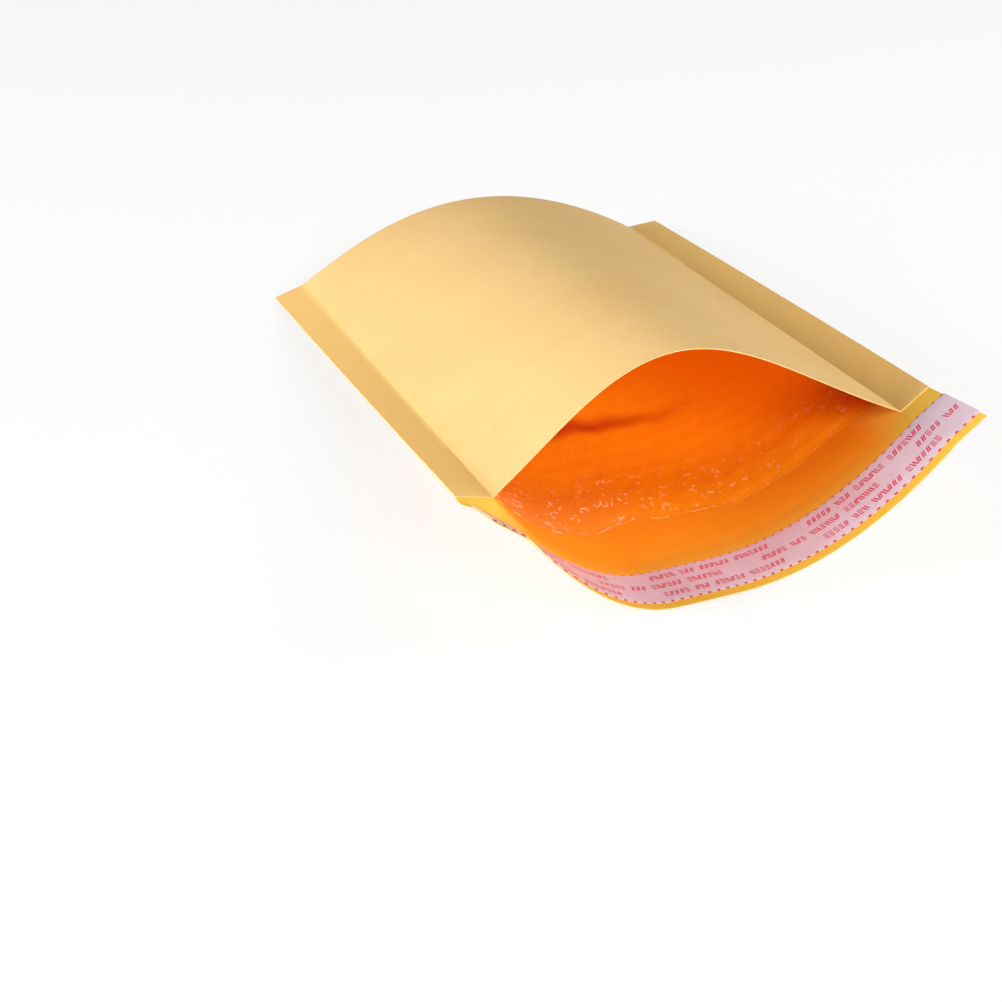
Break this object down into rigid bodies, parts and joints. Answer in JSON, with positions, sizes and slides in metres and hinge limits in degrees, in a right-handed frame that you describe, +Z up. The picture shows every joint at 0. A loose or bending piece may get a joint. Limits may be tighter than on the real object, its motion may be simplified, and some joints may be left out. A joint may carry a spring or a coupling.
{
  "type": "padded envelope",
  "caption": "Padded mailing envelope of kraft paper with a bubble film lining, lying open with its flap and release strip laid out.",
  "frame": {"origin": "middle of the bounding box's base, on the surface that the envelope lies on", "axes": "+X across the width, +Y along the pocket toward the closed fold, -Y out of the mouth toward the flap, +Z up"},
  "size_m": [0.1636, 0.2762, 0.0662],
  "materials": {
    "kraft_paper": "smooth golden kraft, slight sheen",
    "bubble_film": "glossy film over kraft",
    "adhesive": "tacky, satin",
    "release_paper": "siliconed, printed"
  },
  "bodies": {
    "root": {"kraft_shell": "kraft_paper", "bubble_lining": "bubble_film", "adhesive_strip": "adhesive", "release_liner": "release_paper"}
  },
  "joints": []
}
